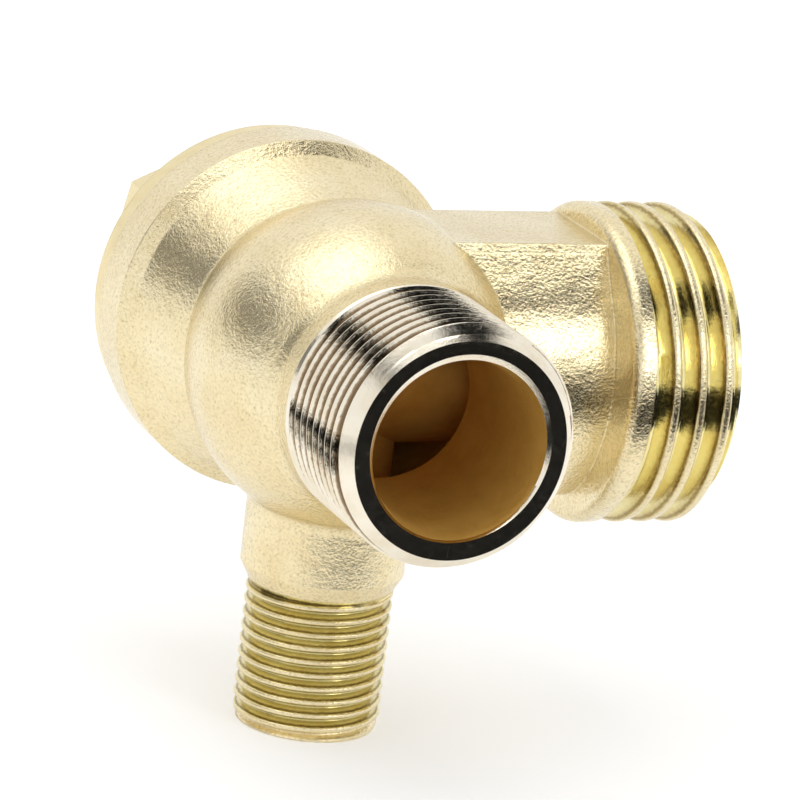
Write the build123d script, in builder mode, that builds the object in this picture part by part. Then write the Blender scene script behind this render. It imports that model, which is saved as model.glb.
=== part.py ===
# Three port non return valve for an air compressor tank, built in millimetres.
# The tank thread points along -Y, the inlet along +X, the unloader port along -Z.
# The origin is on the tank thread axis, at the shoulder where that thread starts.
import os

from build123d import *

os.makedirs("parts", exist_ok=True)

# how deep a form is sunk in the one that carries it, and how far a cut runs past a face
root = 0.2
past = 1.0

# tank thread, M16 x 1, and the short neck behind it
tank_len = 9.2
tank_r = 7.9
tank_bore_r = 5.5
tank_lead = 0.9
tank_lead_len = 0.54
tank_mouth = 0.45
tank_neck = 2.0325
tank_round = 2.0

# inlet thread, G1/2, with its collar
inlet_end = 23.55
inlet_r = 10.48
inlet_lead = 1.05
inlet_lead_len = 0.8
collar_start = 15.5
collar_round = 0.75
collar_core = 6.0
inlet_bore_r = 7.2
inlet_bore_floor = 17.4
inlet_cone = 2.0
inlet_mouth = 0.9

# unloader thread, G1/8
unload_end = 24.3
unload_r = 4.8
unload_lead = 0.62
unload_lead_len = 0.55
unload_start = 14.7
boss_r = 5.35
boss_end = 13.7
unload_bore_r = 2.2
unload_mouth = 0.45

# cast ball, bell and flange, all turned about the tank axis
ball_r = 10.6
ball_back = 0.8
wall = 2.1
bell_sink = 0.727
bell_tip = 4.2
bell_base_r = 11.08
bell_base = 9.45
flange_r = 11.94
flange_front = 10.25
flange_back = 13.85
flange_edge = 0.25
boss_round = 1.2
valley_round = 0.8

# neck to the inlet, an oval with a flat pad on top
neck_half_w = 7.4
neck_half_h = 8.8
pad_half_w = 4.0
pad_top = 9.0
pad_step = 0.65
pad_draft = 0.1
pad_skirt = 1.65
pad_depth = 3.45

# inner duct, seat nozzle and passages
duct_r = 3.8
duct_wall = 1.4
duct_tip = 4.2
nozzle_bore_r = 3.5
nozzle_r = 5.0
nozzle_bevel = 0.7
nozzle_len = 7.2
riser_r = 3.7
riser_root = 0.84
chamber_r = 7.4

# cap thread, M20 x 1, gasket and cap
fit_gap = 0.05
cap_bore_r = 9.8
cap_bore_len = 4.55
cap_bore_lead = 0.4
gasket_t = 0.5
gasket_r = 11.2
gasket_gap = 0.05
spigot_r = cap_bore_r - fit_gap
spigot_short = 0.3
spigot_lead = 0.4
rim_r = 11.5
rim_t = 1.6
head_t = 4.8
head_flats = 18.0
head_face_r = 8.6
head_bevel = 1.1
head_turn = 38.0

# moving disc, its rubber pad and the spring
lift = 2.5
stop_gap = 0.05
seat_gap = 0.02
seal_r = 5.0
seal_t = 1.5
seal_gap = 0.03
seal_edge = 0.2
disc_r = 6.3
disc_t = 2.35
disc_rim = 0.55
disc_edge = 0.3
disc_back_edge = 0.5
stem_r = 2.4
stem_len = 4.7
stem_edge = 0.4
guide_gap = 0.06
guide_r = 3.5
guide_spare = 0.2
spring_room = 5.1
spring_well_r = 5.3
wire_r = 0.25
spring_r = 4.4
spring_gap = 0.03
spring_turns = 4.0

# levels that follow from the ones above, and the bell's inner end just inside the ball
ball_y = (ball_r**2 - tank_r**2) ** 0.5 + tank_neck
cross_y = ball_y + ball_back
bell_tip_r = (ball_r**2 - (bell_tip + ball_back) ** 2) ** 0.5 - bell_sink
flange_face_y = cross_y + flange_back
cap_bore_floor = flange_face_y - cap_bore_len
spigot_tip = cap_bore_floor + spigot_short
head_y = flange_face_y + gasket_t
hex_y = head_y + rim_t
head_top_y = hex_y + head_t
seat_y = cross_y + nozzle_len
seal_y = seat_y + seat_gap
seal_back_y = seal_y + seal_t
disc_y = seat_y + disc_rim
disc_back_y = disc_y + disc_t
stem_top = disc_back_y + stem_len
spring_floor = disc_back_y + spring_room
guide_tip = disc_back_y + lift + stop_gap
guide_floor = stem_top + lift + guide_spare
spring_base = disc_back_y + spring_gap + wire_r
spring_pitch = (spring_floor - spring_base - wire_r - spring_gap) / spring_turns
tank_plane = Plane(origin=(0, 0, 0), x_dir=(1, 0, 0), z_dir=(0, -1, 0))
inlet_plane = Plane(origin=(0, cross_y, 0), x_dir=(0, 1, 0), z_dir=(1, 0, 0))
unload_plane = Plane(origin=(0, cross_y, 0), x_dir=(1, 0, 0), z_dir=(0, 0, -1))
cap_plane = Plane(origin=(0, 0, 0), x_dir=(1, 0, 0), z_dir=(0, 1, 0))

with BuildPart() as valve_body:
    # ball of the casting
    with Locations((0, ball_y, 0)):
        Sphere(ball_r)

    # round boss above the unloader thread, blended into the ball
    with BuildSketch(unload_plane):
        Circle(boss_r)
    extrude(amount=boss_end)
    seam = valve_body.edges().filter_by(GeomType.BSPLINE)
    fillet(seam, radius=boss_round)

    # short round neck behind the tank thread, blended into the ball
    with BuildSketch(tank_plane):
        Circle(tank_r)
    extrude(amount=-2 * tank_neck)
    rings = valve_body.edges().filter_by(GeomType.CIRCLE)
    fillet(rings.filter_by_position(Axis.Y, tank_neck / 2, tank_neck * 1.5), radius=tank_round)

    # bell and flange, one turned shape, with a cast radius where it meets the ball
    with BuildSketch(Plane.XY):
        with BuildLine():
            Polyline(
                (0, ball_y),
                (0, flange_face_y),
                (flange_r - flange_edge, flange_face_y),
                (flange_r, flange_face_y - flange_edge),
                (flange_r, cross_y + flange_front),
                (bell_base_r, cross_y + bell_base),
                (bell_tip_r, cross_y + bell_tip),
                (0, ball_y),
            )
        make_face()
    revolve(axis=Axis.Y)
    seam = valve_body.edges().filter_by_position(Axis.Y, cross_y + bell_tip, cross_y + (bell_tip + bell_base) / 2)
    seam = seam.filter_by(GeomType.LINE, reverse=True)
    fillet(seam, radius=valley_round)

    # oval neck with the flat pad, run into the ball from the collar
    with BuildSketch(inlet_plane):
        Ellipse(neck_half_w, neck_half_h)
        with BuildLine():
            Polyline(
                (-pad_half_w, pad_top),
                (pad_half_w, pad_top),
                (pad_half_w + pad_draft, pad_top - pad_step),
                (pad_half_w + pad_skirt, pad_top - pad_depth),
                (-pad_half_w - pad_skirt, pad_top - pad_depth),
                (-pad_half_w - pad_draft, pad_top - pad_step),
                (-pad_half_w, pad_top),
            )
        make_face()
    extrude(amount=collar_start + root)

    # collar with a rounded near edge, then the inlet thread blank
    with BuildSketch(Plane.XY):
        with BuildLine():
            Polyline(
                (collar_start - collar_core, cross_y),
                (collar_start - collar_core, cross_y + duct_r + duct_wall),
                (collar_start, cross_y + duct_r + duct_wall),
                (collar_start, cross_y + inlet_r - collar_round),
            )
            RadiusArc(
                (collar_start, cross_y + inlet_r - collar_round),
                (collar_start + collar_round, cross_y + inlet_r),
                collar_round,
            )
            Polyline(
                (collar_start + collar_round, cross_y + inlet_r),
                (inlet_end - inlet_lead_len, cross_y + inlet_r),
                (inlet_end, cross_y + inlet_r - inlet_lead),
                (inlet_end, cross_y),
                (collar_start - collar_core, cross_y),
            )
        make_face()
    revolve(axis=Axis((0, cross_y, 0), (1, 0, 0)))

    # unloader thread blank with its taper out of the boss
    with BuildSketch(Plane.XZ.offset(-cross_y)):
        with BuildLine():
            Polyline(
                (0, -boss_end),
                (boss_r, -boss_end),
                (unload_r, -unload_start),
                (unload_r, -unload_end + unload_lead_len),
                (unload_r - unload_lead, -unload_end),
                (0, -unload_end),
                (0, -boss_end),
            )
        make_face()
    revolve(axis=Axis((0, cross_y, 0), (0, 0, 1)))

    # tank thread blank with its lead chamfer
    with BuildSketch(Plane.XY):
        with BuildLine():
            Polyline(
                (0, 0),
                (tank_r, 0),
                (tank_r, -tank_len + tank_lead_len),
                (tank_r - tank_lead, -tank_len),
                (0, -tank_len),
                (0, 0),
            )
        make_face()
    revolve(axis=Axis.Y)

    # hollow of the casting: ball cavity, disc chamber, cap thread and tank bore
    with Locations((0, ball_y, 0)):
        Sphere(ball_r - wall, mode=Mode.SUBTRACT)
    with BuildSketch(Plane.XY):
        with BuildLine():
            Polyline(
                (0, ball_y),
                (0, flange_face_y + past),
                (cap_bore_r + cap_bore_lead, flange_face_y + past),
                (cap_bore_r + cap_bore_lead, flange_face_y),
                (cap_bore_r, flange_face_y - cap_bore_lead),
                (cap_bore_r, cap_bore_floor),
                (chamber_r, cap_bore_floor),
                (chamber_r, ball_y),
                (0, ball_y),
            )
        make_face()
    revolve(axis=Axis.Y, mode=Mode.SUBTRACT)
    with BuildSketch(Plane.XY):
        with BuildLine():
            Polyline(
                (0, ball_y),
                (tank_bore_r, ball_y),
                (tank_bore_r, -tank_len + tank_mouth),
                (tank_bore_r + tank_mouth, -tank_len),
                (tank_bore_r + tank_mouth, -tank_len - past),
                (0, -tank_len - past),
                (0, ball_y),
            )
        make_face()
    revolve(axis=Axis.Y, mode=Mode.SUBTRACT)

    # inner duct with its closed tip, seat nozzle and unloader riser
    with BuildSketch(Plane.XY):
        with BuildLine():
            Polyline(
                (collar_start - collar_core / 2, cross_y),
                (collar_start - collar_core / 2, cross_y + duct_r + duct_wall),
                (-duct_tip, cross_y + duct_r + duct_wall),
                (-duct_tip - duct_wall, cross_y + duct_r),
                (-duct_tip - duct_wall, cross_y),
                (collar_start - collar_core / 2, cross_y),
            )
        make_face()
    revolve(axis=Axis((0, cross_y, 0), (1, 0, 0)))
    with BuildSketch(cap_plane.offset(cross_y)):
        Circle(nozzle_r)
    extrude(amount=nozzle_len)
    rim = valve_body.edges().filter_by(GeomType.CIRCLE)
    rim = rim.filter_by_position(Axis.Y, seat_y - root, seat_y + root)
    chamfer(rim, length=nozzle_bevel)
    with BuildSketch(unload_plane):
        Circle(riser_r)
    extrude(amount=ball_r - wall + riser_root)

    # passages: inlet bore and duct, nozzle throat, unloader bore
    with BuildSketch(Plane.XY):
        with BuildLine():
            Polyline(
                (-duct_tip, cross_y),
                (-duct_tip, cross_y + duct_r),
                (inlet_bore_floor - inlet_cone, cross_y + duct_r),
                (inlet_bore_floor, cross_y + inlet_bore_r),
                (inlet_end - inlet_mouth, cross_y + inlet_bore_r),
                (inlet_end, cross_y + inlet_bore_r + inlet_mouth),
                (inlet_end + past, cross_y + inlet_bore_r + inlet_mouth),
                (inlet_end + past, cross_y),
                (-duct_tip, cross_y),
            )
        make_face()
    revolve(axis=Axis((0, cross_y, 0), (1, 0, 0)), mode=Mode.SUBTRACT)
    with BuildSketch(cap_plane.offset(cross_y)):
        Circle(nozzle_bore_r)
    extrude(amount=nozzle_len + past, mode=Mode.SUBTRACT)
    with BuildSketch(Plane.XZ.offset(-cross_y)):
        with BuildLine():
            Polyline(
                (0, 0),
                (unload_bore_r, 0),
                (unload_bore_r, -unload_end + unload_mouth),
                (unload_bore_r + unload_mouth, -unload_end),
                (unload_bore_r + unload_mouth, -unload_end - past),
                (0, -unload_end - past),
                (0, 0),
            )
        make_face()
    revolve(axis=Axis((0, cross_y, 0), (0, 0, 1)), mode=Mode.SUBTRACT)

valve_body.part.label = "valve_body"
export_step(valve_body.part, "parts/valve_body.step")

with BuildPart() as cap_gasket:
    # flat ring clamped between the flange and the cap
    with BuildSketch(cap_plane.offset(flange_face_y)):
        Circle(gasket_r)
        Circle(cap_bore_r + gasket_gap, mode=Mode.SUBTRACT)
    extrude(amount=gasket_t)

cap_gasket.part.label = "cap_gasket"
export_step(cap_gasket.part, "parts/cap_gasket.step")

with BuildPart() as hex_cap:
    # hexagon head with its far corners turned off
    with BuildSketch(cap_plane.offset(hex_y)):
        RegularPolygon(radius=head_flats / 2, side_count=6, major_radius=False, rotation=head_turn)
    extrude(amount=head_t)
    with BuildSketch(Plane.XY):
        with BuildLine():
            Polyline(
                (0, hex_y),
                (rim_r, hex_y),
                (rim_r, head_top_y - head_bevel),
                (head_face_r, head_top_y),
                (0, head_top_y),
                (0, hex_y),
            )
        make_face()
    revolve(axis=Axis.Y, mode=Mode.INTERSECT)

    # round rim that clamps the gasket
    with BuildSketch(cap_plane.offset(head_y)):
        Circle(rim_r)
    extrude(amount=rim_t)

    # threaded ring that screws into the body, and the tube that guides the disc
    with BuildSketch(cap_plane.offset(spigot_tip)):
        Circle(spigot_r)
        Circle(chamber_r, mode=Mode.SUBTRACT)
    extrude(amount=head_y - spigot_tip)
    lead = hex_cap.edges().filter_by(GeomType.CIRCLE).sort_by(Axis.Y)[0:2].sort_by(SortBy.RADIUS)[-1]
    chamfer(lead, length=spigot_lead)
    with BuildSketch(cap_plane.offset(head_y)):
        Circle(spring_well_r)
    extrude(amount=spring_floor - head_y, mode=Mode.SUBTRACT)
    with BuildSketch(cap_plane.offset(guide_tip)):
        Circle(guide_r)
    extrude(amount=spring_floor + root - guide_tip)
    with BuildSketch(cap_plane.offset(guide_tip - past)):
        Circle(stem_r + guide_gap)
    extrude(amount=guide_floor - guide_tip + past, mode=Mode.SUBTRACT)

hex_cap.part.label = "hex_cap"
export_step(hex_cap.part, "parts/hex_cap.step")

with BuildPart() as valve_disc:
    # cup that holds the rubber pad, with its guide stem
    with BuildSketch(Plane.XY):
        with BuildLine():
            Polyline(
                (0, seal_back_y),
                (seal_r + seal_gap, seal_back_y),
                (seal_r + seal_gap, disc_y),
                (disc_r - disc_edge, disc_y),
                (disc_r, disc_y + disc_edge),
                (disc_r, disc_back_y - disc_back_edge),
                (disc_r - disc_back_edge, disc_back_y),
                (stem_r, disc_back_y),
                (stem_r, stem_top - stem_edge),
                (stem_r - stem_edge, stem_top),
                (0, stem_top),
                (0, seal_back_y),
            )
        make_face()
    revolve(axis=Axis.Y)

valve_disc.part.label = "valve_disc"
export_step(valve_disc.part, "parts/valve_disc.step")

with BuildPart() as seal_pad:
    # rubber pad pressed into the cup
    with BuildSketch(cap_plane.offset(seal_y)):
        Circle(seal_r)
    extrude(amount=seal_t)
    chamfer(seal_pad.edges().group_by(Axis.Y)[0], length=seal_edge)

seal_pad.part.label = "seal_pad"
export_step(seal_pad.part, "parts/seal_pad.step")

with BuildPart() as valve_spring:
    # light compression spring, drawn at its closed length
    with BuildLine() as coil:
        Helix(
            pitch=spring_pitch,
            height=spring_pitch * spring_turns,
            radius=spring_r,
            center=(0, spring_base, 0),
            direction=(0, 1, 0),
        )
    with BuildSketch(Plane(origin=coil.line @ 0, z_dir=coil.line % 0)):
        Circle(wire_r)
    sweep(path=coil.line, is_frenet=True)

valve_spring.part.label = "valve_spring"
export_step(valve_spring.part, "parts/valve_spring.step")
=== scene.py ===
import math

import bmesh
import bpy
from mathutils import Matrix, Vector


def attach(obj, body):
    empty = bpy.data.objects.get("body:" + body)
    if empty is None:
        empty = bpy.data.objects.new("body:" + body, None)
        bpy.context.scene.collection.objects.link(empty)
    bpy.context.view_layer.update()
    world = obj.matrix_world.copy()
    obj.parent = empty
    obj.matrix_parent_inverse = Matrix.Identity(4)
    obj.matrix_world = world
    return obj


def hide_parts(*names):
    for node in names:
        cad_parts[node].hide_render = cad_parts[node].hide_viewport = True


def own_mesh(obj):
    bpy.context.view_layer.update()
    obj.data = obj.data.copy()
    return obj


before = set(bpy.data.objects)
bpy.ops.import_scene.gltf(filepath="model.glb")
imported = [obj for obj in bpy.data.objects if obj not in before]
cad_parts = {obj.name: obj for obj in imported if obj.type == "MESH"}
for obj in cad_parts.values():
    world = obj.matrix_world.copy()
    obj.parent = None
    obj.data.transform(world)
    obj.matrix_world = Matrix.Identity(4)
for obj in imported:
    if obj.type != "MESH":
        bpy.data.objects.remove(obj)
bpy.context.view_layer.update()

# Brass casting of the valve: ball, bell, flange, oval neck and the boss for the unloader.
# It is cast in sand, tumbled and bright dipped, so the skin is pale gold with a fine sandy grain.
# The bores, the seat and the cap thread are cut afterwards, and the three outer threads are the pieces below.
cross = Vector((0.0, 0.0099, 0.0))
tank_start, inlet_start, unloader_start = 0.0, 0.01695, -0.0147
flange_face, chamber_floor, seat_top, inlet_mouth = 0.02375, 0.0182, 0.0165, 0.0112
tank_blank, inlet_blank, unloader_blank = 0.0085, 0.0082, 0.0027


def new_finish(name):
    made = bpy.data.materials.new(name)
    made.use_nodes = True
    tree = made.node_tree
    shader = next(n for n in tree.nodes if n.type == "BSDF_PRINCIPLED")
    place = tree.nodes.new("ShaderNodeTexCoord")
    return made, tree, shader, place.outputs["Object"]


def grain(tree, place, size, detail, rough, stretch=None):
    """Noise with lumps of a given size in metres. A stretch above 1 packs them closer along that axis."""
    if stretch:
        turned = tree.nodes.new("ShaderNodeMapping")
        turned.inputs["Scale"].default_value = stretch
        tree.links.new(place, turned.inputs["Vector"])
        place = turned.outputs["Vector"]
    made = tree.nodes.new("ShaderNodeTexNoise")
    made.inputs["Scale"].default_value = 1.0 / size
    made.inputs["Detail"].default_value = detail
    made.inputs["Roughness"].default_value = rough
    tree.links.new(place, made.inputs["Vector"])
    return made.outputs["Fac"]


def spread(tree, value, low, high, to_low, to_high):
    """Maps low..high to to_low..to_high, and holds it at both ends."""
    made = tree.nodes.new("ShaderNodeMapRange")
    for socket, number in zip(("From Min", "From Max", "To Min", "To Max"), (low, high, to_low, to_high)):
        made.inputs[socket].default_value = number
    tree.links.new(value, made.inputs["Value"])
    return made.outputs["Result"]


def shades(tree, value, *stops):
    """A colour ramp from stops, each a place from 0 to 1 and a colour."""
    made = tree.nodes.new("ShaderNodeValToRGB")
    ramp = made.color_ramp
    while len(ramp.elements) < len(stops):
        ramp.elements.new(0.5)
    for element, (at, colour) in zip(ramp.elements, stops):
        element.position = at
        element.color = (*colour, 1.0)
    tree.links.new(value, made.inputs["Fac"])
    return made.outputs["Color"]


def multiplied(tree, first, second):
    """Two colours multiplied. A colour mix takes its share on socket 0 and its colours on 6 and 7."""
    made = tree.nodes.new("ShaderNodeMix")
    made.data_type = "RGBA"
    made.blend_type = "MULTIPLY"
    made.inputs[0].default_value = 1.0
    tree.links.new(first, made.inputs[6])
    tree.links.new(second, made.inputs[7])
    return made.outputs[2]


def relief(tree, heights, edge=0.0):
    """Fine relief: each of the heights is a value, a depth and a strength, and edge rounds sharp edges."""
    last = None
    if edge:
        eased = tree.nodes.new("ShaderNodeBevel")
        eased.samples = 6
        eased.inputs["Radius"].default_value = edge
        last = eased.outputs["Normal"]
    for value, depth, strength in heights:
        made = tree.nodes.new("ShaderNodeBump")
        made.inputs["Distance"].default_value = depth
        made.inputs["Strength"].default_value = strength
        tree.links.new(value, made.inputs["Height"])
        if last:
            tree.links.new(last, made.inputs["Normal"])
        last = made.outputs["Normal"]
    return last


def cast_skin():
    made, tree, shader, place = new_finish("cast_skin")
    shader.inputs["Metallic"].default_value = 1.0
    sand = grain(tree, place, 0.0002, 3.0, 0.6)
    lumps = grain(tree, place, 0.0011, 3.0, 0.5)
    dull = grain(tree, place, 0.0052, 3.0, 0.6)
    golds = ((0.3, (0.82, 0.685, 0.41)), (0.52, (0.87, 0.75, 0.48)), (0.72, (0.89, 0.79, 0.54)))
    pits = ((0.26, (0.7, 0.66, 0.56)), (0.4, (0.9, 0.89, 0.86)), (0.56, (1.0, 1.0, 1.0)))
    pitted = multiplied(tree, shades(tree, dull, *golds), shades(tree, sand, *pits))
    sandy = relief(tree, ((lumps, 0.00012, 0.45), (sand, 0.00006, 0.75)), edge=0.00018)
    tree.links.new(pitted, shader.inputs["Base Color"])
    tree.links.new(spread(tree, sand, 0.3, 0.7, 0.24, 0.1), shader.inputs["Roughness"])
    tree.links.new(sandy, shader.inputs["Normal"])
    return made


def away(tree, place, middle, plane):
    """Distance from an axis: middle is a point on it, and plane is 1 across the axis and 0 along it."""
    flat = tree.nodes.new("ShaderNodeMapping")
    flat.inputs["Location"].default_value = [-m * p for m, p in zip(middle, plane)]
    flat.inputs["Scale"].default_value = plane
    tree.links.new(place, flat.inputs["Vector"])
    length = tree.nodes.new("ShaderNodeVectorMath")
    length.operation = "LENGTH"
    tree.links.new(flat.outputs["Vector"], length.inputs[0])
    return length.outputs["Value"]


def turned_rings(tree, distance, size):
    """The fine rings that a turning tool leaves, by the distance from the axis."""
    made = tree.nodes.new("ShaderNodeTexNoise")
    made.noise_dimensions = "1D"
    made.inputs["Scale"].default_value = 1.0 / size
    tree.links.new(distance, made.inputs["W"])
    return made.outputs["Fac"]


def cut_brass():
    made, tree, shader, place = new_finish("cut_brass")
    shader.inputs["Metallic"].default_value = 1.0
    lines = turned_rings(tree, away(tree, place, (0, 0, 0), (1, 0, 1)), 0.00025)
    smear = grain(tree, place, 0.0012, 5.0, 0.65)
    yellows = ((0.3, (0.79, 0.65, 0.36)), (0.5, (0.83, 0.70, 0.40)), (0.75, (0.86, 0.74, 0.45)))
    turned = relief(tree, ((lines, 0.00003, 0.6), (smear, 0.00003, 0.2)), edge=0.00012)
    tree.links.new(shades(tree, smear, *yellows), shader.inputs["Base Color"])
    tree.links.new(spread(tree, smear, 0.3, 0.7, 0.27, 0.17), shader.inputs["Roughness"])
    tree.links.new(turned, shader.inputs["Normal"])
    return made


def cored_brass():
    made, tree, shader, place = new_finish("cored_brass")
    shader.inputs["Metallic"].default_value = 0.45
    sand = grain(tree, place, 0.0004, 4.0, 0.6)
    smear = grain(tree, place, 0.003, 4.0, 0.6)
    ambers = ((0.3, (0.60, 0.34, 0.065)), (0.55, (0.68, 0.41, 0.09)), (0.8, (0.73, 0.46, 0.11)))
    tree.links.new(shades(tree, smear, *ambers), shader.inputs["Base Color"])
    tree.links.new(spread(tree, sand, 0.3, 0.7, 0.62, 0.45), shader.inputs["Roughness"])
    tree.links.new(relief(tree, ((sand, 0.00004, 0.4), (smear, 0.00006, 0.3))), shader.inputs["Normal"])
    return made


skin = cast_skin()
bare_brass = cut_brass()
cored = cored_brass()
skin_slot, cut_slot, cored_slot = 0, 1, 2


def across(point, along):
    """Distance of a point from a line through the crossing of the ports."""
    off = point - cross
    off[along] = 0.0
    return off.length


casting_mesh = bpy.data.meshes.new("valve_casting")
bm = bmesh.new()
packed_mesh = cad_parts["valve_body"].data
bm.from_mesh(packed_mesh)
facing_layer = bm.loops.layers.float_vector.new("packed_normal")
corner_normals = packed_mesh.corner_normals
for face in bm.faces:
    for corner in face.loops:
        corner[facing_layer] = corner_normals[corner.index].vector
bmesh.ops.remove_doubles(bm, verts=bm.verts, dist=1e-7)
for spot, facing in (
    (Vector((0, tank_start, 0)), Vector((0, 1, 0))),
    (Vector((inlet_start, 0, 0)), Vector((1, 0, 0))),
    (Vector((0, 0, unloader_start)), Vector((0, 0, 1))),
):
    everything = bm.verts[:] + bm.edges[:] + bm.faces[:]
    bmesh.ops.bisect_plane(bm, geom=everything, dist=1e-7, plane_co=spot, plane_no=facing)
blanks = []
for face in bm.faces:
    middle = face.calc_center_median()
    if middle.y < tank_start and math.hypot(middle.x, middle.z) < tank_blank:
        blanks.append(face)
    elif middle.x > inlet_start and across(middle, 0) > inlet_blank:
        blanks.append(face)
    elif middle.z < unloader_start and across(middle, 2) > unloader_blank:
        blanks.append(face)
bmesh.ops.delete(bm, geom=blanks, context="FACES")
for face in bm.faces:
    middle = face.calc_center_median()
    face.smooth = True
    bored = middle.y > chamber_floor or (middle.y > seat_top and middle.x < inlet_mouth)
    face.material_index = cut_slot if bored else cored_slot
# The outer skin spreads from the ball's outermost face over the whole outside, as far as the flange's face.
ball_side = [f for f in bm.faces if f.calc_center_median().y < cross.y]
to_visit = [min(ball_side, key=lambda f: f.calc_center_median().x)]
to_visit[0].material_index = skin_slot
while to_visit:
    for edge in to_visit.pop().edges:
        for near in edge.link_faces:
            if near.material_index != skin_slot and near.calc_center_median().y < flange_face - 1e-5:
                near.material_index = skin_slot
                to_visit.append(near)
same_facing = 0.985
for edge in bm.edges:
    if not edge.is_manifold:
        continue
    one, two = edge.link_loops
    pairs = ((one, two.link_loop_next), (one.link_loop_next, two))
    edge.smooth = all(a[facing_layer].dot(b[facing_layer]) > same_facing for a, b in pairs)
bm.loops.layers.float_vector.remove(facing_layer)
bm.to_mesh(casting_mesh)
bm.free()
casting_mesh.materials.append(skin)
casting_mesh.materials.append(bare_brass)
casting_mesh.materials.append(cored)
casting = bpy.data.objects.new("valve_casting", casting_mesh)
bpy.context.scene.collection.objects.link(casting)
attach(casting, "housing")
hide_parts("valve_body")

# Tank thread, M16 x 1, cut on the casting and plated, so it is the brightest and most silvery of the three.
# Its first turns carry a wide chamfer, and the end face is a flat ring round the bore, a little scuffed.
# The groove runs out in the neck of the casting.
tank_crest, tank_root, tank_pitch = 0.0079, 0.0073, 0.001
tank_end, tank_bore = 0.0092, 0.0055
tank_chamfer, tank_chamfer_slope, tank_run_out = 0.0009, 1.03, 0.0011
face_outer, face_inner, bore_aside, bore_back = 0.00696, 0.006, 0.00016, -0.0003
thread_slot, plain_slot, inner_slot = 0, 1, 2


def wind_thread(start, end, crest, root, pitch, shape, shift, steps):
    """A thread surface wound on Z past start and end, and cut off there. Shape is one pitch of it, from root
    to root, and shift moves its crests along."""
    bm = bmesh.new()
    length = end - start
    turns = math.ceil(length / pitch) + 2
    ring = [bm.verts.new((root + (crest - root) * high, 0, along * pitch)) for along, high in shape]
    edges = [bm.edges.new(pair) for pair in zip(ring, ring[1:])]
    bmesh.ops.spin(
        bm,
        geom=ring + edges,
        cent=(0, 0, 0),
        axis=(0, 0, 1),
        dvec=(0, 0, pitch / steps),
        angle=math.tau,
        steps=steps,
    )
    one_turn = bm.verts[:] + bm.edges[:] + bm.faces[:]
    for turn in range(1, turns):
        wound = bmesh.ops.duplicate(bm, geom=one_turn)["geom"]
        points = [g for g in wound if isinstance(g, bmesh.types.BMVert)]
        bmesh.ops.translate(bm, verts=points, vec=(0, 0, turn * pitch))
    bmesh.ops.remove_doubles(bm, verts=bm.verts, dist=pitch / 400)
    bmesh.ops.translate(bm, verts=bm.verts, vec=(0, 0, start - 1.5 * pitch + shift))
    for height, facing in ((start, -1), (end, 1)):
        everything = bm.verts[:] + bm.edges[:] + bm.faces[:]
        bmesh.ops.bisect_plane(
            bm, geom=everything, dist=1e-8, plane_co=(0, 0, height), plane_no=(0, 0, facing), clear_outer=True
        )
    return bm


def pull_in(bm, limit):
    """Turns the thread to the radius that limit gives for a point's height and radius."""
    for vert in bm.verts:
        far = math.hypot(vert.co.x, vert.co.y)
        most = limit(vert.co.z, far)
        if abs(most - far) > 1e-9:
            vert.co.x *= most / far
            vert.co.y *= most / far


def face_end(bm, height, rings):
    """Closes the end of a thread with a face and a bore. A ring is a radius, a height and a step sideways."""
    rim = [e for e in bm.edges if e.is_boundary and all(abs(v.co.z - height) < 1e-7 for v in e.verts)]
    for radius, level, aside in rings:
        grown = bmesh.ops.extrude_edge_only(bm, edges=rim)
        points = [g for g in grown["geom"] if isinstance(g, bmesh.types.BMVert)]
        rim = [g for g in grown["geom"] if isinstance(g, bmesh.types.BMEdge)]
        rim = [e for e in rim if e.verts[0] in points and e.verts[1] in points]
        for vert in points:
            far = math.hypot(vert.co.x, vert.co.y)
            vert.co = (vert.co.x * radius / far, vert.co.y * radius / far + aside, level)


def finish_thread(bm, name, origin, axis, finishes, inner, outer, plain_from):
    """Puts a wound thread in its place. The third finish is for faces within inner, the second for faces
    beyond outer or past plain_from, and the first for the rest."""
    sharp = math.radians(32)
    bmesh.ops.remove_doubles(bm, verts=bm.verts, dist=2e-7)
    bmesh.ops.recalc_face_normals(bm, faces=bm.faces)
    for face in bm.faces:
        face.smooth = True
        radii = [math.hypot(v.co.x, v.co.y) for v in face.verts]
        if max(radii) < inner:
            face.material_index = inner_slot
        elif min(radii) > outer or face.calc_center_median().z > plain_from:
            face.material_index = plain_slot
        else:
            face.material_index = thread_slot
    for edge in bm.edges:
        if edge.is_manifold and edge.calc_face_angle() > sharp:
            edge.smooth = False
    turn = Vector((0, 0, 1)).rotation_difference(Vector(axis)).to_matrix()
    bmesh.ops.rotate(bm, verts=bm.verts, cent=(0, 0, 0), matrix=turn)
    bmesh.ops.translate(bm, verts=bm.verts, vec=origin)
    mesh = bpy.data.meshes.new(name)
    bm.to_mesh(mesh)
    bm.free()
    for finish in finishes:
        mesh.materials.append(finish)
    made = bpy.data.objects.new(name, mesh)
    bpy.context.scene.collection.objects.link(made)
    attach(made, "housing")


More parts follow.
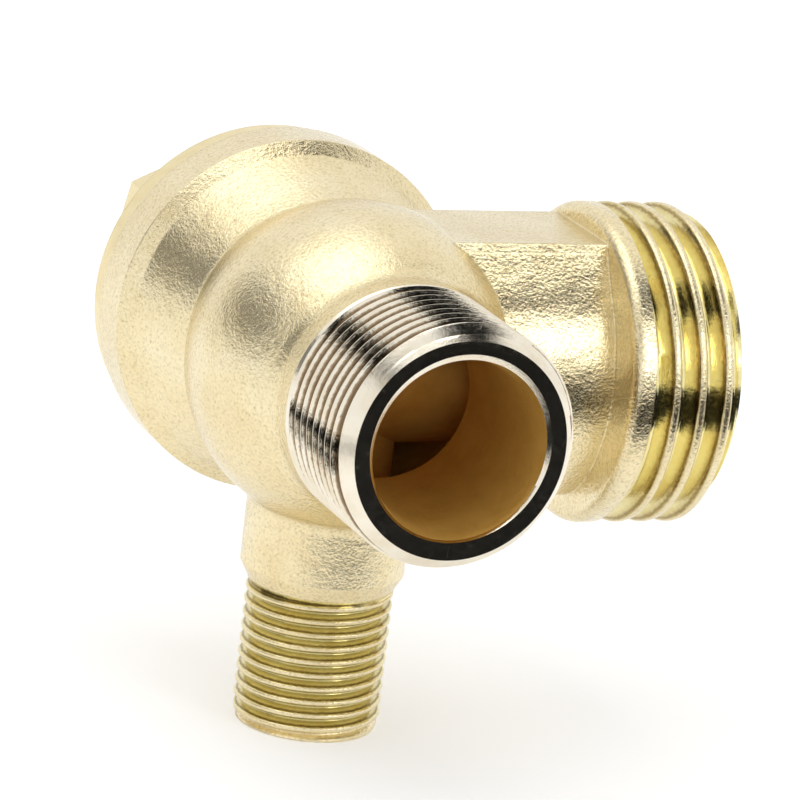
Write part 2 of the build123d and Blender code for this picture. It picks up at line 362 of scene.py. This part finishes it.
def thread_finish(name, middle, plane, low, high, groove_shade, metal, lines, rough):
    """Cut metal. The colours in metal lie over it in patches, and the colours for the grooves, when given,
    are painted shade that darkens it by the distance from the axis, from the root at low to the crest at
    high. Lines stretches the turning marks."""
    made, tree, shader, place = new_finish(name)
    shader.inputs["Metallic"].default_value = 1.0
    scuffs = grain(tree, place, 0.00035, 4.0, 0.6)
    smear = grain(tree, place, 0.0021, 4.0, 0.6)
    turning = grain(tree, place, 0.00009, 2.0, 0.5, lines)
    colour = shades(tree, smear, *metal)
    if groove_shade:
        # Painted shade in the grooves, made ragged by the scuffs noise.
        shade_wobble = tree.nodes.new("ShaderNodeMath")
        shade_wobble.operation = "MULTIPLY_ADD"
        tree.links.new(scuffs, shade_wobble.inputs[0])
        shade_wobble.inputs[1].default_value = 0.3
        shade_wobble.inputs[2].default_value = -0.15
        depth = tree.nodes.new("ShaderNodeMath")
        tree.links.new(spread(tree, away(tree, place, middle, plane), low, high, 0.0, 1.0), depth.inputs[0])
        tree.links.new(shade_wobble.outputs[0], depth.inputs[1])
        colour = multiplied(tree, colour, shades(tree, depth.outputs[0], *groove_shade))
    scratched = relief(tree, ((smear, 0.00003, 0.2), (scuffs, 0.00002, 0.4), (turning, 0.000012, 0.5)))
    tree.links.new(colour, shader.inputs["Base Color"])
    tree.links.new(spread(tree, scuffs, 0.35, 0.75, *rough), shader.inputs["Roughness"])
    tree.links.new(scratched, shader.inputs["Normal"])
    return made


def tank_turned(z, far):
    """The wide chamfer at the end of the thread, and the run-out that fills its groove by the neck."""
    run_out = tank_crest - max(0.0, z) / tank_run_out * (tank_crest - tank_root) if z < tank_run_out else 0.0
    return max(run_out, min(far, tank_crest - max(0.0, z - plain_end) * tank_chamfer_slope))


plain_end = tank_end - tank_chamfer
mouth_depth = 0.0014
mouth_rings = [
    (radius, tank_end - depth, aside)
    for radius, depth, aside in ((0.00597, 0.00002, 0.00014), (0.00574, 0.0002, 0.0), (0.00566, 0.0006, 0.0))
]
v_shape = (
    (0.0, 0.0), (0.06, 0.03), (0.1, 0.12), (0.22, 0.38), (0.34, 0.64), (0.46, 0.92), (0.49, 0.99),
    (0.52, 1.0), (0.55, 0.99), (0.58, 0.92), (0.7, 0.64), (0.82, 0.38), (0.94, 0.12), (1.0, 0.0),
)
bm = wind_thread(0.0, tank_end, tank_crest, tank_root, tank_pitch, v_shape, 0.0, 120)
pull_in(bm, tank_turned)
face_end(
    bm,
    tank_end,
    (
        (face_outer, tank_end, 0.0),
        (face_inner, tank_end, bore_aside),
        *mouth_rings,
        (tank_bore, tank_end - mouth_depth, 0.0),
        (tank_bore, bore_back, 0.0),
    ),
)
silver_gold = ((0.3, (0.80, 0.71, 0.55)), (0.55, (0.87, 0.80, 0.66)), (0.8, (0.92, 0.87, 0.76)))
# Painted shade, dark in the roots of the tank thread and clearing towards the crests.
tank_root_shade = ((0.5, (0.22, 0.16, 0.11)), (0.66, (0.42, 0.34, 0.26)), (0.78, (1.0, 1.0, 1.0)))
around_y = ((0, 0, 0), (1, 0, 1), tank_root, tank_crest)
finishes = [
    thread_finish("tank_thread", *around_y, tank_root_shade, silver_gold, (0.2, 3.0, 0.2), (0.06, 0.18)),
    thread_finish("plated_end", *around_y, None, silver_gold, (2.0, 0.2, 2.0), (0.06, 0.18)),
    cored,
]
cored_within, out_of_reach = 0.00575, 1.0
finish_thread(bm, "tank_thread", (0, 0, 0), (0, -1, 0), finishes, cored_within, out_of_reach, plain_end)

# Inlet thread, G1/2, the widest port, for the nut of the delivery pipe. It is cut on the casting: its crests
# keep the pale cast skin, and the cut roots show yellow brass. A plain groove parts it from the collar.
inlet_end, inlet_crest, inlet_root, inlet_pitch, inlet_shift = 0.02355, 0.01048, 0.00932, 0.001814, 0.0002
inlet_chamfer, inlet_chamfer_slope = 0.0008, 1.3125
groove_shoulder_slope, groove_width, first_turn_slope = 3.6, 0.0005, 1.9
inlet_lip, inlet_lip_width, inlet_lip_depth, inlet_skin_depth = 0.0081, 0.0001, 0.0002, 0.0001


def inlet_turned(z, far):
    """The chamfer at the end, and the groove that starts at a steep shoulder and ends in the first turn."""
    chamfered = inlet_crest - max(0.0, z - (inlet_end - inlet_chamfer)) * inlet_chamfer_slope
    first_turn = inlet_root + max(0.0, z - (inlet_start + groove_width)) * first_turn_slope
    return max(min(far, chamfered, first_turn), inlet_crest - (z - inlet_start) * groove_shoulder_slope)


round_shape = (
    (0.0, 0.0), (0.05, 0.01), (0.1, 0.06), (0.15, 0.16), (0.28, 0.5), (0.4, 0.86), (0.43, 0.93), (0.47, 0.98),
    (0.52, 1.0), (0.6, 1.0), (0.65, 0.98), (0.69, 0.93), (0.72, 0.86), (0.85, 0.5), (0.95, 0.12), (1.0, 0.0),
)
bm = wind_thread(inlet_start, inlet_end, inlet_crest, inlet_root, inlet_pitch, round_shape, inlet_shift, 144)
pull_in(bm, inlet_turned)
inner_lip = (inlet_lip - inlet_lip_width, inlet_end - inlet_lip_depth, 0.0)
face_end(bm, inlet_end, ((inlet_lip, inlet_end, 0.0), inner_lip))
clean_brass = ((0.3, (0.82, 0.70, 0.34)), (0.55, (0.88, 0.79, 0.43)), (0.8, (0.90, 0.83, 0.50)))
# Painted shade in a dark band high on the flanks of the inlet thread.
inlet_flank_shade = (
    (0.4, (1.0, 1.0, 1.0)), (0.66, (0.82, 0.78, 0.7)), (0.8, (0.38, 0.3, 0.2)), (0.95, (0.8, 0.76, 0.7)),
)
around_x = (cross, (0, 1, 1), inlet_root, inlet_crest)
finishes = [
    thread_finish("inlet_thread", *around_x, inlet_flank_shade, clean_brass, (3.0, 0.15, 0.15), (0.07, 0.2)),
    skin,
]
skin_beyond = inlet_crest - inlet_skin_depth
finish_thread(bm, "inlet_thread", cross, (1, 0, 0), finishes, 0.0, skin_beyond, out_of_reach)

# Unloader thread, G1/8, for the small pipe to the pressure switch. It is cut on the casting like the inlet
# thread: rounded crests that keep the cast skin, a short run-out by the boss and a domed end round the bore.
unloader_neck, unloader_end = -unloader_start, 0.0243
unloader_crest, unloader_root, unloader_pitch = 0.0048, 0.00423, 0.000907
unloader_run_out, dome_length, dome_curve, dome_depth, dome_skin = 0.0008, 0.0011, 1.6, 13.0, 0.0007
unloader_lip, unloader_lip_width, unloader_lip_depth, unloader_skin_depth = 0.00265, 0.00015, 0.0002, 0.00006


def unloader_turned(z, far):
    """The domed end, and the run-out that fills the groove by the boss."""
    past = z - unloader_neck
    run_out = unloader_crest - max(0.0, past) / unloader_run_out * (unloader_crest - unloader_root)
    domed = unloader_crest - max(0.0, z - (unloader_end - dome_length)) ** dome_curve * dome_depth
    return max(min(far, domed), run_out if past < unloader_run_out else 0.0)


bm = wind_thread(
    unloader_neck, unloader_end, unloader_crest, unloader_root, unloader_pitch, round_shape, 0.0, 96
)
pull_in(bm, unloader_turned)
inner_lip = (unloader_lip - unloader_lip_width, unloader_end - unloader_lip_depth, 0.0)
face_end(bm, unloader_end, ((unloader_lip, unloader_end, 0.0), inner_lip))
olive_brass = ((0.3, (0.78, 0.67, 0.33)), (0.55, (0.85, 0.76, 0.42)), (0.8, (0.89, 0.81, 0.50)))
# Painted shade: a light shade at the roots and a dark band high on the flanks of the unloader thread.
unloader_groove_shade = (
    (0.1, (0.66, 0.64, 0.54)), (0.4, (0.9, 0.88, 0.82)), (0.66, (0.3, 0.25, 0.18)), (0.85, (1.0, 1.0, 1.0)),
)
around_z = (cross, (1, 1, 0), unloader_root, unloader_crest)
finishes = [
    thread_finish("unloader_thread", *around_z, unloader_groove_shade, olive_brass, (0.15, 0.15, 3.0), (0.09, 0.26)),
    skin,
]
skin_beyond, dome_from = unloader_crest - unloader_skin_depth, unloader_end - dome_skin
finish_thread(bm, "unloader_thread", cross, (0, 0, -1), finishes, 0.0, skin_beyond, dome_from)

# Screw cap behind the flange, turned from brass bar, with a hexagon milled on its head.
# It closes the casting, holds the spring in its well, and guides the stem of the disc in a tube.
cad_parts["hex_cap"].data.materials.clear()
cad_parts["hex_cap"].data.materials.append(bare_brass)

# Gasket between the flange and the cap, a flat ring cut from pressed brown fibre sheet.
# The cap clamps it, so only a thin dark edge of it shows.


def fibre():
    made, tree, shader, place = new_finish("gasket_fibre")
    strands = grain(tree, place, 0.0004, 5.0, 0.7, (1.0, 4.0, 1.0))
    browns = ((0.3, (0.055, 0.03, 0.018)), (0.7, (0.16, 0.09, 0.05)))
    tree.links.new(shades(tree, strands, *browns), shader.inputs["Base Color"])
    tree.links.new(spread(tree, strands, 0.3, 0.7, 0.65, 0.9), shader.inputs["Roughness"])
    tree.links.new(relief(tree, ((strands, 0.00003, 0.5),)), shader.inputs["Normal"])
    return made


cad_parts["cap_gasket"].data.materials.clear()
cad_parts["cap_gasket"].data.materials.append(fibre())

# Valve disc, turned from brass bar: a cup that holds the pad, and a stem that slides in the cap's tube.
# The air lifts it off the nozzle, and the spring puts it back.
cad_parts["valve_disc"].data.materials.clear()
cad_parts["valve_disc"].data.materials.append(bare_brass)

# Sealing pad, a disc of black nitrile rubber, moulded and pressed into the cup of the valve disc.
# It closes on the rim of the nozzle and rides with the disc.


def rubber():
    made, tree, shader, place = new_finish("seal_rubber")
    bloom = grain(tree, place, 0.0009, 5.0, 0.65)
    blacks = ((0.3, (0.012, 0.012, 0.013)), (0.75, (0.035, 0.034, 0.033)))
    tree.links.new(shades(tree, bloom, *blacks), shader.inputs["Base Color"])
    tree.links.new(spread(tree, bloom, 0.3, 0.7, 0.5, 0.72), shader.inputs["Roughness"])
    tree.links.new(relief(tree, ((bloom, 0.00002, 0.4),)), shader.inputs["Normal"])
    return made


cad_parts["seal_pad"].data.materials.clear()
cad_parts["seal_pad"].data.materials.append(rubber())

# Closing spring, wound from drawn stainless wire. It stands in the well of the cap and bears on the disc,
# so it shortens by the disc's lift when the valve opens.


def drawn_wire():
    made, tree, shader, place = new_finish("spring_steel")
    shader.inputs["Metallic"].default_value = 1.0
    draw = grain(tree, place, 0.0003, 4.0, 0.6)
    greys = ((0.3, (0.42, 0.41, 0.39)), (0.7, (0.66, 0.65, 0.62)))
    tree.links.new(shades(tree, draw, *greys), shader.inputs["Base Color"])
    tree.links.new(spread(tree, draw, 0.3, 0.7, 0.2, 0.38), shader.inputs["Roughness"])
    tree.links.new(relief(tree, ((draw, 0.00001, 0.4),)), shader.inputs["Normal"])
    return made


spring_mesh = bpy.data.meshes.new("closing_spring")
bm = bmesh.new()
bm.from_mesh(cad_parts["valve_spring"].data)
bmesh.ops.remove_doubles(bm, verts=bm.verts, dist=1e-7)
wire_end = math.radians(50)
for face in bm.faces:
    face.smooth = True
for edge in bm.edges:
    edge.smooth = not edge.is_manifold or edge.calc_face_angle() < wire_end
bm.to_mesh(spring_mesh)
bm.free()
spring_mesh.materials.append(drawn_wire())
closing_spring = bpy.data.objects.new("closing_spring", spring_mesh)
bpy.context.scene.collection.objects.link(closing_spring)
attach(closing_spring, "housing")
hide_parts("valve_spring")
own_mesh(closing_spring)

# Studio: a pale paper floor just under the unloader's end, and a white room that the metal reflects.
# Two soft lamps light it, one overhead and one in front on the right.
floor_level, floor_half = -0.02432, 3.0
lens_heading = -114.1


def plain_sight(tree):
    """1 where the lens looks, straight or in a reflection, and 0 for light that falls on a surface."""
    rays = tree.nodes.new("ShaderNodeLightPath")
    total = rays.outputs["Is Camera Ray"]
    for other in ("Is Glossy Ray", "Is Transmission Ray"):
        more = tree.nodes.new("ShaderNodeMath")
        more.operation = "MAXIMUM"
        tree.links.new(total, more.inputs[0])
        tree.links.new(rays.outputs[other], more.inputs[1])
        total = more.outputs[0]
    return total


def paper():
    made, tree, shader, place = new_finish("floor_paper")
    fibres = grain(tree, place, 0.0008, 4.0, 0.6)
    whites = ((0.3, (0.81, 0.81, 0.81)), (0.7, (0.84, 0.84, 0.84)))
    tree.links.new(shades(tree, fibres, *whites), shader.inputs["Base Color"])
    tree.links.new(spread(tree, fibres, 0.3, 0.7, 0.85, 0.95), shader.inputs["Roughness"])
    shader.inputs["Emission Color"].default_value = (1.0, 1.0, 1.0, 1.0)
    tree.links.new(spread(tree, plain_sight(tree), 0.0, 1.0, 0.0, 0.36), shader.inputs["Emission Strength"])
    return made


bm = bmesh.new()
bmesh.ops.create_grid(bm, x_segments=1, y_segments=1, size=floor_half)
bmesh.ops.translate(bm, verts=bm.verts, vec=(0, 0, floor_level))
floor_mesh = bpy.data.meshes.new("floor")
bm.to_mesh(floor_mesh)
bm.free()
floor_mesh.materials.append(paper())
floor = bpy.data.objects.new("floor", floor_mesh)
bpy.context.scene.collection.objects.link(floor)

room = bpy.data.worlds.new("room")
bpy.context.scene.world = room
room.use_nodes = True
room_tree = room.node_tree
room_light = next(n for n in room_tree.nodes if n.type == "BACKGROUND")
room_light.inputs["Color"].default_value = (1.0, 1.0, 1.0, 1.0)
room_strength = spread(room_tree, plain_sight(room_tree), 0.0, 1.0, 0.85, 1.0)
room_tree.links.new(room_strength, room_light.inputs["Strength"])


def toward(turn, rise):
    """A direction from the valve, in degrees: its turn to the right of the lens and its rise above level."""
    heading = math.radians(turn + lens_heading)
    return Vector((math.cos(heading), math.sin(heading), math.tan(math.radians(rise)))).normalized()


for name, turn, rise, gap, width, height, power in (
    ("overhead", -60, 78, 0.42, 0.34, 0.34, 0.36),
    ("right_front", 49, 22, 0.42, 0.13, 0.15, 0.2),
):
    light = bpy.data.lights.new(name, "AREA")
    light.shape = "RECTANGLE"
    light.size = width
    light.size_y = height
    light.energy = power
    made = bpy.data.objects.new(name, light)
    made.location = cross + toward(turn, rise) * gap
    made.rotation_mode = "QUATERNION"
    made.rotation_quaternion = toward(turn, rise).to_track_quat("Z", "Y")
    bpy.context.scene.collection.objects.link(made)


# Boards of matt card round the valve, so that the bright metal has something dark to show: a black one above
# the lens, a grey one on the left and a black one high on the right. The lens never sees them straight.
board_gap = 0.45


def card(name, dark, light):
    made, tree, shader, place = new_finish(name)
    shader.inputs["Specular IOR Level"].default_value = 0.0
    fibres = grain(tree, place, 0.001, 4.0, 0.6)
    tree.links.new(shades(tree, fibres, (0.3, (dark,) * 3), (0.7, (light,) * 3)), shader.inputs["Base Color"])
    return made


black = card("black_card", 0.01, 0.02)
grey = card("grey_card", 0.3, 0.36)
for name, paint, turn, rise, width, height in (
    ("board_above_lens", black, -12, 36, 0.2, 0.11),
    ("board_left", grey, -84, 22, 0.46, 0.22),
    ("board_high_right", black, 68, 53, 0.28, 0.2),
):
    bm = bmesh.new()
    bmesh.ops.create_grid(bm, x_segments=1, y_segments=1, size=1.0)
    bmesh.ops.scale(bm, verts=bm.verts, vec=(width / 2, height / 2, 1))
    way = toward(turn, rise)
    bmesh.ops.rotate(bm, verts=bm.verts, cent=(0, 0, 0), matrix=way.to_track_quat("Z", "Y").to_matrix())
    bmesh.ops.translate(bm, verts=bm.verts, vec=cross + way * board_gap)
    board_mesh = bpy.data.meshes.new(name)
    bm.to_mesh(board_mesh)
    bm.free()
    board_mesh.materials.append(paint)
    board = bpy.data.objects.new(name, board_mesh)
    board.visible_camera = False
    bpy.context.scene.collection.objects.link(board)

# Two more black cards lie just over the floor, in front on the right and on the left.
# Only reflections show them, so the end faces and the flanks of the threads look dark from below.
card_lift = 0.0005
for name, middle, half, turn in (
    ("floor_card_right", (0.08, -0.172), (0.12, 0.15), 6),
    ("floor_card_left", (-0.078, -0.078), (0.034, 0.034), -20),
):
    bm = bmesh.new()
    bmesh.ops.create_grid(bm, x_segments=1, y_segments=1, size=1.0)
    bmesh.ops.scale(bm, verts=bm.verts, vec=(*half, 1))
    bmesh.ops.rotate(bm, verts=bm.verts, cent=(0, 0, 0), matrix=Matrix.Rotation(math.radians(turn), 3, "Z"))
    bmesh.ops.translate(bm, verts=bm.verts, vec=(*middle, floor_level + card_lift))
    card_mesh = bpy.data.meshes.new(name)
    bm.to_mesh(card_mesh)
    bm.free()
    card_mesh.materials.append(black)
    floor_card = bpy.data.objects.new(name, card_mesh)
    floor_card.visible_camera = False
    floor_card.visible_diffuse = False
    floor_card.visible_shadow = False
    bpy.context.scene.collection.objects.link(floor_card)

# Camera, a long lens at the photo's angle: a little above the valve, before the tank thread, to its left.
# Back, right and up are its own axes, and the eye is where it stands.
camera_data = bpy.data.cameras.new("camera")
camera_data.sensor_width = 36.0
camera_data.lens = 225.0
camera_data.clip_start = 0.01
camera_data.clip_end = 10.0
camera = bpy.data.objects.new("camera", camera_data)
eye = Vector((-0.12246, -0.27266, 0.08468))
back = Vector((-0.3934, -0.8784, 0.2714)).normalized()
right = Vector((0.9194, -0.3763, 0.1146)).normalized()
up = back.cross(right).normalized()
right = up.cross(back)
camera.matrix_world = Matrix.Translation(eye) @ Matrix((right, up, back)).transposed().to_4x4()
bpy.context.scene.collection.objects.link(camera)
bpy.context.scene.camera = camera
bpy.context.scene.view_settings.view_transform = "Standard"
